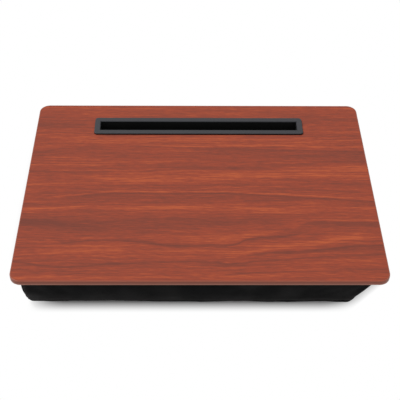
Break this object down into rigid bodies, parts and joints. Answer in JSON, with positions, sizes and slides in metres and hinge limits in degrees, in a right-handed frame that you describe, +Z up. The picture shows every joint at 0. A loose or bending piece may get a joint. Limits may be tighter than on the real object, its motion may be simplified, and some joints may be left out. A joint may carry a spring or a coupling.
{
  "type": "lap desk",
  "caption": "Lap desk: a thin wood-grain board with rounded corners, an edge band and a framed tablet slot near its back edge, on a soft bead-filled cloth cushion.",
  "frame": {"origin": "on the supporting surface, under the middle of the board", "axes": "+X is the user's right along the board's long side, +Y points away from the user towards the tablet slot, +Z is up"},
  "size_m": [0.4, 0.3, 0.058],
  "materials": {
    "wood_grain": "satin wood-grain decor sheet",
    "fibreboard": "raw medium density fibreboard",
    "backing": "plain dark backing sheet",
    "edge_band": "satin brown edge band",
    "black_plastic": "fine matt moulded black",
    "tack_strip": "raw pressed card",
    "staple_wire": "galvanised wire",
    "black_cloth": "plain woven black cloth",
    "liner_cloth": "thin white nonwoven",
    "beads": "small loose foam beads"
  },
  "bodies": {
    "root": {"grain_sheet": "wood_grain", "core_board": "fibreboard", "backing_sheet": "backing", "edge_band": "edge_band", "slot_insert": "black_plastic", "tack_strip_front": "tack_strip", "tack_strip_right": "tack_strip", "tack_strip_back": "tack_strip", "tack_strip_left": "tack_strip", "staples": "staple_wire", "cover_front": "black_cloth", "cover_right": "black_cloth", "cover_back": "black_cloth", "cover_left": "black_cloth", "cover_base": "black_cloth", "bead_liner": "liner_cloth", "bead_filling": "beads"}
  },
  "joints": []
}
